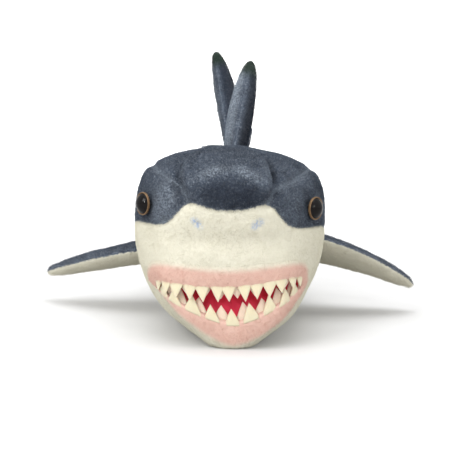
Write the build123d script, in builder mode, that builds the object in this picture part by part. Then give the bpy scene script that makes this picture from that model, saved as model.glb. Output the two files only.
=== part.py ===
from build123d import *

# Plush great white shark lying on its belly: a stuffed cloth body with a gaping mouth, two rows of
# soft teeth in each jaw, snap-in eyes, and floppy fins and tail.
#
# Frame: millimetres, +Z up, nose towards -Y. Left is the shark's own left, +X.
# The origin is on the floor under the middle of the belly.

import os
from math import cos, radians, sin, tan
from typing import NamedTuple

# ---- driving dimensions -------------------------------------------------------------------------
PLUSH = 3.0  # thickness of the body's pile fabric
FIN_PLUSH = 1.6  # thickness of the fins' fabric
EASE = 0.3  # gap that keeps neighbouring soft pieces apart
SEAM = 0.4  # width of a seam between two panels
REACH = 500.0  # longer than the body, for cutting tools

JAW_Y, JAW_Z = -190.0, 46.0  # jaw axis, through both corners of the mouth
UPPER_LIP = 173.5  # side-view angles about the jaw axis, from +Y towards +Z
LOWER_LIP = -137.0
JAW_REAR = -56.5
JAW_OPEN = 12.0  # degrees the jaw can be pulled down from rest
THROAT = JAW_REAR + JAW_OPEN + 1.5
LINING = 1.4  # thickness of the red mouth lining
GUM = 1.4  # thickness of the gum cloth
UPPER_GUM_TOP = 62.5
LOWER_GUM_BOTTOM = 3.0

TAIL_Y, TAIL_SWING = 118.0, 20.0  # tail axis, and the degrees it bends each way

EYE_X, EYE_Y, EYE_Z = 65.5, -191.0, 109.5  # where an eye's axis leaves the fabric
EYE_TURN = 53.0  # degrees an eye looks outward from straight ahead
EYE_R = 9.0  # eye radius with its rim
EYE_RIM = 1.0
EYE_BULGE = 4.4
EYE_SEAT = 1.2  # height of the eye's flat back over the fabric
POST_R, POST_LENGTH = 2.4, 15.0
RIB_HEIGHT, RIB_WIDTH, RIB_PITCH = 0.4, 0.8, 2.6
WASHER_R, WASHER_T = 8.0, 1.5
WASHER_DEPTH = PLUSH + 2.6

FIN_GAP = 4.0  # between the body and the root of a fin that flops
SIDES = (("left", 1), ("right", -1))


class Station(NamedTuple):
    """One cross-section of the body: a rounded shape from bottom to top, widest at the waist."""

    y: float
    bottom: float
    top: float
    half_width: float
    waist: float  # height of the widest place, as a share of the section's height
    shoulder: float  # how square the section is above the waist, where 2 is an ellipse
    keel: float  # and below it


STATIONS = (
    Station(-240, 116, 133, 13, 0.50, 2.0, 2.0),
    Station(-234, 100, 137, 26, 0.52, 2.1, 2.0),
    Station(-226, 74, 140, 36.5, 0.56, 2.3, 2.0),
    Station(-219, 45, 142.5, 44, 0.60, 2.6, 1.95),
    Station(-214, 18, 143.5, 48.5, 0.62, 2.8, 2.0),
    Station(-208, -1, 144.5, 54, 0.63, 2.9, 2.0),
    Station(-200, -5, 145.5, 60, 0.63, 3.0, 1.95),
    Station(-188, -6, 147, 68, 0.63, 3.1, 1.9),
    Station(-172, -6, 148.5, 74, 0.62, 3.3, 1.9),
    Station(-148, -6, 150, 77, 0.61, 3.4, 1.9),
    Station(-114, -6, 151.2, 77.5, 0.59, 3.15, 1.95),
    Station(-74, -6, 151.5, 76.7, 0.56, 2.8, 2.0),
    Station(-28, -6, 151.5, 73.8, 0.54, 2.45, 2.05),
    Station(24, -5, 150.9, 67.4, 0.52, 2.2, 2.1),
    Station(78, 4.5, 149.5, 56.5, 0.51, 2.1, 2.1),
    Station(130, 23, 147, 43, 0.50, 2.0, 2.0),
    Station(180, 53, 144.5, 29.5, 0.50, 2.0, 2.0),
    Station(220, 81, 142, 20, 0.50, 2.0, 2.0),
    Station(246, 93, 139.5, 15, 0.50, 2.0, 2.0),
)
SECTION_POINTS = 28
FACE_DEPTH = 90.0  # the blunt front of the head, where the skin also faces forward


# ---- helpers ------------------------------------------------------------------------------------
def write(piece, node):
    """Labels a finished piece and writes it to a STEP file of its own."""
    piece.part.label = node
    export_step(piece.part, f"parts/{node}.step")


def section_points(station, inset):
    """Points round one cross-section of the body, pulled in all round by inset."""
    waist_z = station.bottom + station.waist * (station.top - station.bottom)
    points = []
    for i in range(SECTION_POINTS):
        angle = radians(90 + 360 * i / SECTION_POINTS)
        c, s = cos(angle), sin(angle)
        height = station.top - waist_z if s >= 0 else waist_z - station.bottom
        power = station.shoulder if s >= 0 else station.keel
        scale = (abs(c) ** power + abs(s) ** power) ** (-1 / power)
        points.append(((station.half_width - inset) * c * scale, waist_z + (height - inset) * s * scale))
    return points


def body_form(inset):
    """The whole body from snout to tail, pulled in by inset, or grown where inset is negative."""
    with BuildPart() as form:
        for station in STATIONS:
            facing = max(0, 1 - (station.y - STATIONS[0].y) / FACE_DEPTH)
            with BuildSketch(Plane((0, station.y + inset * facing, 0), x_dir=(1, 0, 0), z_dir=(0, -1, 0))):
                with BuildLine():
                    Spline(*section_points(station, inset), periodic=True)
                make_face()
        loft()
        # The skin is flat where the belly rests on the floor.
        split(bisect_by=Plane.XY.offset(max(inset, 0)), keep=Keep.TOP)
    return form.part


def side_tool(*points):
    """A cutting tool: a side-view outline of (y, z) points, run across the whole width."""
    with BuildPart() as tool:
        with BuildSketch(Plane.YZ):
            with BuildLine():
                Polyline(*points, close=True)
            make_face()
        extrude(amount=REACH, both=True)
    return tool.part


def top_tool(*points):
    """A cutting tool: a top-view outline of (x, y) points, run through the whole height."""
    with BuildPart() as tool:
        with BuildSketch(Plane.XY):
            with BuildLine():
                Polyline(*points, close=True)
            make_face()
        extrude(amount=REACH, both=True)
    return tool.part


def from_jaw(angle, distance):
    """The side-view point at an angle about the jaw axis and a distance from it."""
    return (JAW_Y + distance * cos(radians(angle)), JAW_Z + distance * sin(radians(angle)))


def jaw_rod(radius):
    """A cutting tool: a rod along the jaw axis."""
    with BuildPart() as rod:
        with BuildSketch(Plane.YZ):
            with Locations((JAW_Y, JAW_Z)):
                Circle(radius)
        extrude(amount=REACH, both=True)
    return rod.part


def tail_gap(half_width):
    """A cutting tool: a gap at the tail axis that widens to both sides, so that the tail can swing."""
    flare = REACH * tan(radians(TAIL_SWING / 2 + 0.8))
    front, rear = TAIL_Y - half_width, TAIL_Y + half_width
    return top_tool(
        (0, front), (REACH, front - flare), (REACH, rear + flare),
        (0, rear), (-REACH, rear + flare), (-REACH, front - flare),
    )


def eye_plane(side, height):
    """A plane across an eye's axis, at a height over the fabric."""
    look = (side * sin(radians(EYE_TURN)), -cos(radians(EYE_TURN)), 0)
    return Plane((side * EYE_X, EYE_Y, EYE_Z), x_dir=(0, 0, 1), z_dir=look).offset(height)


# ---- the body's forms, and the tools that cut it into panels ------------------------------------
os.makedirs("parts", exist_ok=True)
fabric_back = body_form(PLUSH)
stuffing_form = body_form(PLUSH + EASE)

with BuildPart() as skin:
    add(body_form(0))
    add(fabric_back, mode=Mode.SUBTRACT)

with BuildPart() as gum_skin:
    add(body_form(-GUM - EASE))
    add(body_form(-EASE), mode=Mode.SUBTRACT)

mouth_and_jaw = side_tool(
    from_jaw(0, 0), from_jaw(UPPER_LIP, REACH), (-REACH, -REACH), (REACH, -REACH), from_jaw(THROAT, REACH)
)
jaw_wedge = side_tool(from_jaw(0, 0), from_jaw(LOWER_LIP, REACH), (JAW_Y, -REACH), from_jaw(JAW_REAR, REACH))
rear_half = top_tool((-REACH, TAIL_Y), (REACH, TAIL_Y), (REACH, REACH), (-REACH, REACH))
skin_tail_gap = tail_gap(0.6)
stuffing_tail_gap = tail_gap(3.0)
left_half = top_tool((SEAM / 2, -REACH), (REACH, -REACH), (REACH, REACH), (SEAM / 2, REACH))
half = {"left": left_half, "right": mirror(left_half, about=Plane.YZ)}

# The line between the blue back and the cream belly, from the snout to the tail.
SHADE_LINE = ((-300, 109), (-238, 108.5), (-205, 95), (-150, 91), (-60, 83), (20, 79), (120, 84), (300, 105))
blue_zone = side_tool(*SHADE_LINE, (300, REACH), (-300, REACH))
cream_zone = side_tool(*((y, z - SEAM) for y, z in SHADE_LINE), (300, -REACH), (-300, -REACH))

# The seam across the neck, and the two brow seams that run from it to the snout.
NECK_Y, BROW_FRONT_Y = -128.0, -205.0
BROW_FRONT_X, BROW_REAR_X = 33.0, 46.0
neck_rear_y = NECK_Y + SEAM
head_zone = top_tool((-REACH, -REACH), (REACH, -REACH), (REACH, NECK_Y), (-REACH, NECK_Y))
trunk_zone = top_tool((-REACH, neck_rear_y), (REACH, neck_rear_y), (REACH, REACH), (-REACH, REACH))
snout_zone = top_tool(
    (-BROW_FRONT_X, -REACH), (BROW_FRONT_X, -REACH), (BROW_FRONT_X, BROW_FRONT_Y), (BROW_REAR_X, NECK_Y),
    (-BROW_REAR_X, NECK_Y), (-BROW_FRONT_X, BROW_FRONT_Y),
)
left_brow_zone = top_tool(
    (BROW_FRONT_X + SEAM, -REACH), (REACH, -REACH), (REACH, NECK_Y), (BROW_REAR_X + SEAM, NECK_Y),
    (BROW_FRONT_X + SEAM, BROW_FRONT_Y),
)
brow_zone = {"left": left_brow_zone, "right": mirror(left_brow_zone, about=Plane.YZ)}

# ---- head and trunk -----------------------------------------------------------------------------
LIP_CLEARANCE = 3.0  # bare round the jaw axis, where the lips meet

with BuildPart() as trunk_skin:
    add(skin.part)
    add([mouth_and_jaw, jaw_rod(LIP_CLEARANCE), rear_half, skin_tail_gap], mode=Mode.SUBTRACT)
    for _, side in SIDES:
        with BuildSketch(eye_plane(side, EYE_SEAT)):
            Circle(POST_R + EASE)
        extrude(amount=-POST_LENGTH, mode=Mode.SUBTRACT)

with BuildPart() as snout_panel:
    add(trunk_skin.part)
    for zone in (blue_zone, head_zone, snout_zone):
        add(zone, mode=Mode.INTERSECT)
write(snout_panel, "snout_panel")

for name, side in SIDES:
    with BuildPart() as brow_panel:
        add(trunk_skin.part)
        for zone in (blue_zone, head_zone, brow_zone[name]):
            add(zone, mode=Mode.INTERSECT)
    write(brow_panel, f"{name}_brow_panel")

    with BuildPart() as back_panel:
        add(trunk_skin.part)
        for zone in (blue_zone, trunk_zone, half[name]):
            add(zone, mode=Mode.INTERSECT)
    write(back_panel, f"{name}_back_panel")

for node, zone in (("muzzle_panel", head_zone), ("belly_panel", trunk_zone)):
    with BuildPart() as cream_panel:
        add(trunk_skin.part)
        add(cream_zone, mode=Mode.INTERSECT)
        add(zone, mode=Mode.INTERSECT)
    write(cream_panel, node)

# ---- eyes ---------------------------------------------------------------------------------------
dome_r = EYE_R - EYE_RIM - 0.1
dome_curve = (dome_r**2 + EYE_BULGE**2) / (2 * EYE_BULGE)
first_rib = RIB_WIDTH + 0.1 - WASHER_DEPTH

for name, side in SIDES:
    seat = eye_plane(side, EYE_SEAT)
    with BuildPart() as eye:
        with BuildSketch(Plane(seat.origin, x_dir=seat.x_dir, z_dir=-seat.y_dir)):
            with BuildLine():
                Polyline((0, EYE_BULGE + EYE_SEAT), (0, 0), (dome_r, 0), (dome_r, EYE_SEAT))
                RadiusArc((dome_r, EYE_SEAT), (0, EYE_BULGE + EYE_SEAT), -dome_curve)
            make_face()
        revolve(axis=Axis(seat.origin, seat.z_dir))
        with BuildSketch(seat):
            Circle(POST_R)
        extrude(amount=-POST_LENGTH)
        for rib in range(4):
            with BuildSketch(eye_plane(side, first_rib - RIB_PITCH * rib)):
                Circle(POST_R + RIB_HEIGHT)
            extrude(amount=-RIB_WIDTH)
    write(eye, f"{name}_eye")

    with BuildPart() as rim:
        with BuildSketch(seat):
            Circle(EYE_R)
            Circle(EYE_R - EYE_RIM, mode=Mode.SUBTRACT)
        extrude(amount=EYE_SEAT + 0.4)
        fillet(rim.faces().sort_by(Axis(seat.origin, seat.z_dir))[-1].edges(), radius=0.4)
    write(rim, f"{name}_eye_rim")

    with BuildPart() as washer:
        with BuildSketch(eye_plane(side, -WASHER_DEPTH)):
            Circle(WASHER_R)
            Circle(POST_R + 0.1, mode=Mode.SUBTRACT)
        extrude(amount=-WASHER_T)
    write(washer, f"{name}_eye_washer")

# ---- mouth --------------------------------------------------------------------------------------
with BuildPart() as upper_gum:
    add(gum_skin.part)
    upper_gum_zone = side_tool(
        from_jaw(UPPER_LIP, LIP_CLEARANCE), from_jaw(UPPER_LIP, 60), (JAW_Y - 60, UPPER_GUM_TOP),
        (JAW_Y - 4, UPPER_GUM_TOP), (JAW_Y + 3, JAW_Z + 5),
    )
    add(upper_gum_zone, mode=Mode.INTERSECT)
    add(jaw_rod(LIP_CLEARANCE), mode=Mode.SUBTRACT)
write(upper_gum, "upper_gum")

with BuildPart() as lower_gum:
    add(gum_skin.part)
    lip_length = (JAW_Z - LOWER_GUM_BOTTOM) / sin(radians(-LOWER_LIP))
    lower_gum_zone = side_tool(
        from_jaw(LOWER_LIP, LIP_CLEARANCE), from_jaw(LOWER_LIP, lip_length),
        (JAW_Y - 10, LOWER_GUM_BOTTOM), (JAW_Y - 4, 18), (JAW_Y, 35),
    )
    add(lower_gum_zone, mode=Mode.INTERSECT)
    add(jaw_rod(LIP_CLEARANCE), mode=Mode.SUBTRACT)
write(lower_gum, "lower_gum")


def lip_plane(lip):
    """The plane of a lip: its origin on the jaw axis, +X out to the lip, +Z into the jaw's flesh."""
    into_flesh = lip - 90 if lip == UPPER_LIP else lip + 90
    return Plane(
        (0, JAW_Y, JAW_Z),
        x_dir=(0, cos(radians(lip)), sin(radians(lip))),
        z_dir=(0, cos(radians(into_flesh)), sin(radians(into_flesh))),
    )


for node, lip in (("palate_lining", UPPER_LIP), ("mouth_floor_lining", LOWER_LIP)):
    with BuildPart() as lining:
        with BuildSketch(lip_plane(lip)):
            with Locations((REACH / 2 + LIP_CLEARANCE, 0)):
                Rectangle(REACH, REACH)
        extrude(amount=LINING)
        add(stuffing_form, mode=Mode.INTERSECT)
    write(lining, node)


class ToothRow(NamedTuple):
    """A row of pointed cloth teeth sewn along a lip."""

    lip: float
    up: int  # 1 where the teeth stand, -1 where they hang
    count: int
    setback: float  # how far the row is inside the outer skin
    height: float  # of the tooth in the middle of the row
    fill: float  # width of a tooth, as a share of the spacing


TOOTH_T = 1.3
TOOTH_LIFT = 1.0  # gap between a tooth's root and its lip
CORNER_SHRINK = 0.65  # share of its height that a tooth right at the corner of the mouth would lose
CORNER_MARGIN = 0.06  # bare part of the lip at each corner of the mouth

TOOTH_ROWS = {
    "upper_teeth": ToothRow(UPPER_LIP, -1, 13, 0.8, 11.5, 0.94),
    "upper_inner_teeth": ToothRow(UPPER_LIP, -1, 10, 4.0, 8.5, 0.7),
    "lower_teeth": ToothRow(LOWER_LIP, 1, 9, 0.8, 9.5, 0.94),
    "lower_inner_teeth": ToothRow(LOWER_LIP, 1, 8, 6.0, 11.5, 0.8),
}


def lip_curve(lip, setback):
    """The curve where a lip's plane meets the body, from one corner of the mouth to the other."""
    sheet = lip_plane(lip) * Pos(REACH / 2 + LIP_CLEARANCE, 0) * Rectangle(REACH, REACH)
    outline = sheet & body_form(setback)
    return Wire(outline.edges().filter_by(GeomType.LINE, reverse=True))


for node, row in TOOTH_ROWS.items():
    curve = lip_curve(row.lip, row.setback)
    width = curve.length * (1 - 2 * CORNER_MARGIN) / row.count * row.fill
    with BuildPart() as teeth:
        for i in range(row.count):
            along = (i + 0.5) / row.count
            place = CORNER_MARGIN + (1 - 2 * CORNER_MARGIN) * along
            tangent = curve % place
            leftward = tangent if tangent.X > 0 else -tangent
            outward = leftward.cross(Vector(0, 0, 1)).normalized()
            root = (curve @ place) + Vector(0, 0, row.up * TOOTH_LIFT)
            tall = row.up * row.height * (1 - CORNER_SHRINK * (2 * along - 1) ** 2)
            with BuildSketch(Plane(root + outward * TOOTH_T / 2, x_dir=leftward, z_dir=outward)):
                with BuildLine():
                    Polyline((-width / 2, 0), (width / 2, 0), (0, tall), close=True)
                make_face()
            extrude(amount=-TOOTH_T)
    write(teeth, node)

# ---- jaw ----------------------------------------------------------------------------------------
with BuildPart() as jaw_panel:
    add(skin.part)
    add(jaw_wedge, mode=Mode.INTERSECT)
    add(jaw_rod(LIP_CLEARANCE), mode=Mode.SUBTRACT)
write(jaw_panel, "jaw_panel")

with BuildPart() as jaw_stuffing:
    add(stuffing_form)
    wedge_tip = Vector(*from_jaw((LOWER_LIP + JAW_REAR) / 2, 5.0))
    lower_side = wedge_tip + Vector(cos(radians(LOWER_LIP)), sin(radians(LOWER_LIP))) * REACH
    rear_side = wedge_tip + Vector(cos(radians(JAW_REAR)), sin(radians(JAW_REAR))) * REACH
    stuffing_wedge = side_tool(
        (wedge_tip.X, wedge_tip.Y), (lower_side.X, lower_side.Y), (JAW_Y, -REACH), (rear_side.X, rear_side.Y)
    )
    add(stuffing_wedge, mode=Mode.INTERSECT)
write(jaw_stuffing, "jaw_stuffing")

# ---- stuffing of the trunk, with pockets for the eyes --------------------------------------------
with BuildPart() as trunk_stuffing:
    add(stuffing_form)
    throat_tip = Vector(*from_jaw((UPPER_LIP + THROAT) / 2, 2.0))
    palate_side = throat_tip + Vector(cos(radians(UPPER_LIP)), sin(radians(UPPER_LIP))) * REACH
    throat_side = throat_tip + Vector(cos(radians(THROAT)), sin(radians(THROAT))) * REACH
    mouth_tool = side_tool(
        (throat_tip.X, throat_tip.Y), (palate_side.X, palate_side.Y), (-REACH, -REACH), (REACH, -REACH),
        (throat_side.X, throat_side.Y),
    )
    add([mouth_tool, rear_half, stuffing_tail_gap], mode=Mode.SUBTRACT)
    for _, side in SIDES:
        with BuildSketch(eye_plane(side, EYE_SEAT)):
            Circle(POST_R + RIB_HEIGHT + EASE)
        extrude(amount=-POST_LENGTH - EASE, mode=Mode.SUBTRACT)
        with BuildSketch(eye_plane(side, EYE_SEAT)):
            Circle(WASHER_R + EASE)
        extrude(amount=-EYE_SEAT - WASHER_DEPTH - WASHER_T - EASE, mode=Mode.SUBTRACT)
write(trunk_stuffing, "trunk_stuffing")

# ---- tail ---------------------------------------------------------------------------------------
for name, _ in SIDES:
    with BuildPart() as tail_panel:
        add(skin.part)
        for zone in (rear_half, blue_zone, half[name]):
            add(zone, mode=Mode.INTERSECT)
        add(skin_tail_gap, mode=Mode.SUBTRACT)
    write(tail_panel, f"{name}_tail_panel")

with BuildPart() as tail_belly_panel:
    add(skin.part)
    add(rear_half, mode=Mode.INTERSECT)
    add(cream_zone, mode=Mode.INTERSECT)
    add(skin_tail_gap, mode=Mode.SUBTRACT)
write(tail_belly_panel, "tail_belly_panel")

with BuildPart() as tail_stuffing:
    add(stuffing_form)
    add(rear_half, mode=Mode.INTERSECT)
    add(stuffing_tail_gap, mode=Mode.SUBTRACT)
write(tail_stuffing, "tail_stuffing")


# ---- fins ---------------------------------------------------------------------------------------
class Rib(NamedTuple):
    """One lens-shaped section across a fin."""

    span: float
    lead: float  # distance of the leading edge behind the root's
    chord: float
    thickness: float


def fin_cover(root, ribs, face, droop=0.0):
    """The cloth on one face of a fin, 1 or -1, whose tip is bent by droop towards face 1."""
    with BuildPart() as cover:
        for rib in ribs:
            bend = droop * (rib.span / ribs[-1].span) ** 2
            middle = (rib.lead + rib.chord / 2, bend + face * SEAM / 2)
            with BuildSketch(root.offset(rib.span)):
                with BuildLine():
                    outside = EllipticalCenterArc(
                        middle, rib.chord / 2, rib.thickness / 2, start_angle=0, arc_size=180 * face
                    )
                    inside = EllipticalCenterArc(
                        middle, rib.chord / 2 - FIN_PLUSH, rib.thickness / 2 - FIN_PLUSH,
                        start_angle=0, arc_size=180 * face,
                    )
                    Line(outside @ 0, inside @ 0)
                    Line(outside @ 1, inside @ 1)
                make_face()
        loft()
    return cover.part


def fin_pad(root, ribs, droop=0.0):
    """The thin pad of fibre between a fin's two covers."""
    inset = FIN_PLUSH + EASE
    with BuildPart() as pad:
        for rib in ribs:
            bend = droop * (rib.span / ribs[-1].span) ** 2
            with BuildSketch(root.offset(rib.span)):
                with Locations((rib.lead + rib.chord / 2, bend)):
                    Ellipse(rib.chord / 2 - inset, rib.thickness / 2 - inset)
        loft()
    return pad.part


def wing_root(side, x, y, z, fall, pitch):
    """Root plane of a fin at the body's flank: +Z out along the fin, which falls by an angle, and
    +X back along its root, whose front is pitched up."""
    span = Vector(side * cos(radians(fall)), 0, -sin(radians(fall)))
    above = Vector(side * sin(radians(fall)), 0, cos(radians(fall)))
    chord = Vector(0, cos(radians(pitch)), 0) - above * sin(radians(pitch))
    return Plane((side * x, y, z), x_dir=chord, z_dir=span)


def upright_root(x, y, z, lean, turn=0.0):
    """Root plane of an upright fin: +Z up along the fin, which leans to the left, and +X back along
    its root, whose rear is turned to the left."""
    chord = (sin(radians(turn)), cos(radians(turn)), 0)
    return Plane((x, y, z), x_dir=chord, z_dir=(sin(radians(lean)), 0, cos(radians(lean))))


flop_room = body_form(-FIN_GAP)
sewn_room = body_form(-EASE)

PECTORAL_RIBS = (
    Rib(0, 0, 84, 11), Rib(16, 3, 82, 15), Rib(42, 11, 72, 16), Rib(70, 26, 55, 14.5),
    Rib(93, 43, 37, 12), Rib(107, 55, 22, 9), Rib(113, 63, 11, 6.4),
)
PECTORAL_X, PECTORAL_Y, PECTORAL_FALL = 61.0, -66.0, 9.0
left_root = wing_root(1, PECTORAL_X, PECTORAL_Y, 74.0, PECTORAL_FALL, 17.0)
right_root = wing_root(-1, PECTORAL_X, PECTORAL_Y, 64.0, PECTORAL_FALL, 8.0)

DORSAL_RIBS = (
    Rib(0, 0, 90, 17), Rib(16, 6, 82, 22), Rib(38, 22, 64, 22.5), Rib(60, 41, 45, 20.5),
    Rib(77, 57, 29, 16.5), Rib(87, 69, 17, 12), Rib(92, 77, 8, 8),
)
dorsal_root = upright_root(-1.0, -16.0, 139.0, 8.5)

# name, root, ribs, droop, and the names of the faces on the root plane's +Y and -Y side
FLOPPY_FINS = (
    ("left_pectoral", left_root, PECTORAL_RIBS, -12.0, ("top", "bottom")),
    ("right_pectoral", right_root, PECTORAL_RIBS, 6.0, ("bottom", "top")),
    ("dorsal", dorsal_root, DORSAL_RIBS, 0.0, ("right", "left")),
)
for name, root, ribs, droop, faces in FLOPPY_FINS:
    for face_name, face in zip(faces, (1, -1)):
        with BuildPart() as fin_panel:
            add(fin_cover(root, ribs, face, droop))
            add(flop_room, mode=Mode.SUBTRACT)
        write(fin_panel, f"{name}_{face_name}_panel")
    with BuildPart() as fin_stuffing:
        add(fin_pad(root, ribs, droop))
        add(flop_room, mode=Mode.SUBTRACT)
    write(fin_stuffing, f"{name}_stuffing")

TAIL_FIN_RIBS = (
    Rib(0, 36, 8, 6.4), Rib(8, 29, 20, 9.5), Rib(24, 19, 31, 13), Rib(46, 8, 36, 16), Rib(76, 0, 32, 18),
    Rib(104, 4, 40, 18), Rib(136, 18, 42, 17), Rib(170, 36, 36, 15), Rib(198, 50, 26, 12),
    Rib(214, 59, 15, 9), Rib(221, 64, 8, 6.4),
)
tail_fin_root = upright_root(26.0, 253.5, 43.0, -20.0, 18.0)
for face_name, face in (("right", 1), ("left", -1)):
    with BuildPart() as tail_fin_panel:
        add(fin_cover(tail_fin_root, TAIL_FIN_RIBS, face))
    write(tail_fin_panel, f"tail_fin_{face_name}_panel")
with BuildPart() as tail_fin_stuffing:
    add(fin_pad(tail_fin_root, TAIL_FIN_RIBS))
write(tail_fin_stuffing, "tail_fin_stuffing")

PELVIC_RIBS = (Rib(0, 0, 38, 5.5), Rib(14, 7, 32, 5.5), Rib(27, 17, 21, 5), Rib(35, 27, 10, 4.6))
SECOND_DORSAL_RIBS = (Rib(0, 0, 28, 5.5), Rib(13, 7, 22, 5.5), Rib(23, 16, 13, 5), Rib(28, 23, 6, 4.6))
SEWN_FINS = (
    ("left_pelvic", wing_root(1, 36.0, 50.0, 30.0, 30.0, 4.0), PELVIC_RIBS, ("top", "bottom")),
    ("right_pelvic", wing_root(-1, 36.0, 50.0, 30.0, 30.0, 4.0), PELVIC_RIBS, ("bottom", "top")),
    ("second_dorsal", upright_root(0.0, 160.0, 138.0, 0.0), SECOND_DORSAL_RIBS, ("right", "left")),
)
for name, root, ribs, faces in SEWN_FINS:
    for face_name, face in zip(faces, (1, -1)):
        with BuildPart() as fin_panel:
            add(fin_cover(root, ribs, face))
            add(sewn_room, mode=Mode.SUBTRACT)
        write(fin_panel, f"{name}_{face_name}_panel")
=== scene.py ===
import math

import bpy
import numpy as np
from mathutils import Matrix, Vector, noise


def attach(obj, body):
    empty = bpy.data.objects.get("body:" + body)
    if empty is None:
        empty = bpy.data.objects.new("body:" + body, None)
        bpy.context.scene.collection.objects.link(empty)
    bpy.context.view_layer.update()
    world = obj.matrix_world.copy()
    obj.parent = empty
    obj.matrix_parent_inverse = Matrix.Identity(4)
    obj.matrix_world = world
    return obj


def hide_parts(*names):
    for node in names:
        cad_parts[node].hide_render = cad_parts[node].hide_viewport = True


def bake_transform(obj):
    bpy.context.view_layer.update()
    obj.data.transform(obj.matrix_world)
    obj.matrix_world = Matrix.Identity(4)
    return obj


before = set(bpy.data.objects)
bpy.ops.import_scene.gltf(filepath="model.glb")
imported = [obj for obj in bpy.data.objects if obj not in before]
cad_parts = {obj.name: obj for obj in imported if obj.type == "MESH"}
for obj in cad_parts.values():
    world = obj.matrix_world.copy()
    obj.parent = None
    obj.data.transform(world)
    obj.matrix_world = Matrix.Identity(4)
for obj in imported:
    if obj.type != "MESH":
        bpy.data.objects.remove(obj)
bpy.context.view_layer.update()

# Plush great white shark. Nose towards -Y, the shark's own left towards +X, belly on the floor at
# z = 0. Shapes are worked out in millimetres and written to the meshes in metres.
MM = 0.001

# ---- driving dimensions -------------------------------------------------------------------------
# Sections of the body: y, bottom, top, half width, waist height as a share, shoulder and keel power.
STATIONS = np.array((
    (-241.8, 125, 125, 0, 0.50, 2.0, 2.0),
    (-240, 116, 133, 13, 0.50, 2.0, 2.0),
    (-234, 100, 137, 26, 0.52, 2.1, 2.0),
    (-226, 74, 140, 36.5, 0.56, 2.3, 2.0),
    (-219, 45, 142.5, 44, 0.60, 2.6, 1.95),
    (-214, 18, 143.5, 48.5, 0.62, 2.8, 2.0),
    (-208, -1, 144.5, 54, 0.63, 2.9, 2.0),
    (-200, -5, 145.5, 60, 0.63, 3.0, 1.95),
    (-188, -6, 147, 68, 0.63, 3.1, 1.9),
    (-172, -6, 148.5, 74, 0.62, 3.3, 1.9),
    (-148, -6, 150, 77, 0.61, 3.4, 1.9),
    (-114, -6, 151.2, 77.5, 0.59, 3.15, 1.95),
    (-74, -6, 151.5, 76.7, 0.56, 2.8, 2.0),
    (-28, -6, 151.5, 73.8, 0.54, 2.45, 2.05),
    (24, -5, 150.9, 67.4, 0.52, 2.2, 2.1),
    (78, 4.5, 149.5, 56.5, 0.51, 2.1, 2.1),
    (130, 23, 147, 43, 0.50, 2.0, 2.0),
    (180, 53, 144.5, 29.5, 0.50, 2.0, 2.0),
    (220, 81, 142, 20, 0.50, 2.0, 2.0),
    (246, 93, 139.5, 15, 0.50, 2.0, 2.0),
))
NOSE_Y, TAIL_END_Y = STATIONS[0, 0], STATIONS[-1, 0]
HEAD_CENTRE = np.array((0.0, -150.0, 60.0))  # every point of the face is in sight of it
NECK_Y = -128.0  # the seam across the neck, where the head skin ends
TAIL_SPLIT_Y = 185.0  # where the body skin ends and the tail skin starts

MOUTH_LEFT, MOUTH_RIGHT = (58.5, 50.0), (-57.0, 46.0)  # x, z of the corners of the mouth
GUM_LEFT, GUM_RIGHT = (64.0, 56.5), (-63.5, 51.5)
FLOOR_PRESS = 1.2  # how softly the underside turns flat at the floor
FLOOR_REACH = 20.0  # how high above the floor that press acts
CHIN_SHIFT, CHIN_TOP = 4.0, 60.0  # the soft chin sits a little to the shark's left, below this height
CHIN_TUCK, TUCK_TOP = 0.16, 26.0  # how much narrower the chin is at the floor, and from what height
CHIN_BACK, CHIN_FRONT = -140.0, -190.0  # where the chin begins, and where it is at its fullest
EYE = np.array((66.5, -190.0, 109.5))
NOSTRIL = np.array((23.5, -230.5, 98.5))

LIP_COLUMNS = 144  # columns of the head skin along one lip
HEAD_ROWS, GUM_ROWS = 118, 14
DENSE = 800  # points of an outline before its columns are spaced out evenly


# ---- the body's surface -------------------------------------------------------------------------
def smooth(low, high, value):
    """0 at low and beyond it, 1 at high and beyond it, and a smooth step between."""
    t = np.clip((value - low) / (high - low), 0, 1)
    return t * t * (3 - 2 * t)


def dome(distance, width, power=2):
    """1 at the middle of a bump, dying away at about its width."""
    return np.exp(-(distance / width) ** power)


def in_ball(p, centre, radii):
    """Distance from the centre of an ellipsoid, in its own radii."""
    return np.linalg.norm((p - np.array(centre)) / np.array(radii), axis=-1)


def curve_through(x, xs, ys):
    """A smooth curve through the points (xs, ys) that never overshoots them."""
    steep = np.diff(ys) / np.diff(xs)
    slope = np.zeros_like(ys)
    slope[0], slope[-1] = steep[0], steep[-1]
    same = steep[:-1] * steep[1:] > 0
    total = np.where(same, steep[:-1] + steep[1:], 1)
    slope[1:-1] = np.where(same, 2 * steep[:-1] * steep[1:] / total, 0)
    i = np.clip(np.searchsorted(xs, x) - 1, 0, len(xs) - 2)
    h = xs[i + 1] - xs[i]
    t = (x - xs[i]) / h
    start = (1 + 2 * t) * (1 - t) ** 2 * ys[i] + t * (1 - t) ** 2 * h * slope[i]
    return start + t * t * (3 - 2 * t) * ys[i + 1] + t * t * (t - 1) * h * slope[i + 1]


def section(y):
    """Bottom, top, half width, waist share, shoulder and keel of the body at y."""
    root = np.sqrt(np.clip(y - NOSE_Y, 0, TAIL_END_Y - NOSE_Y))
    knots = np.sqrt(STATIONS[:, 0] - NOSE_Y)
    return [curve_through(root, knots, STATIONS[:, k]) for k in range(1, 7)]


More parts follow.
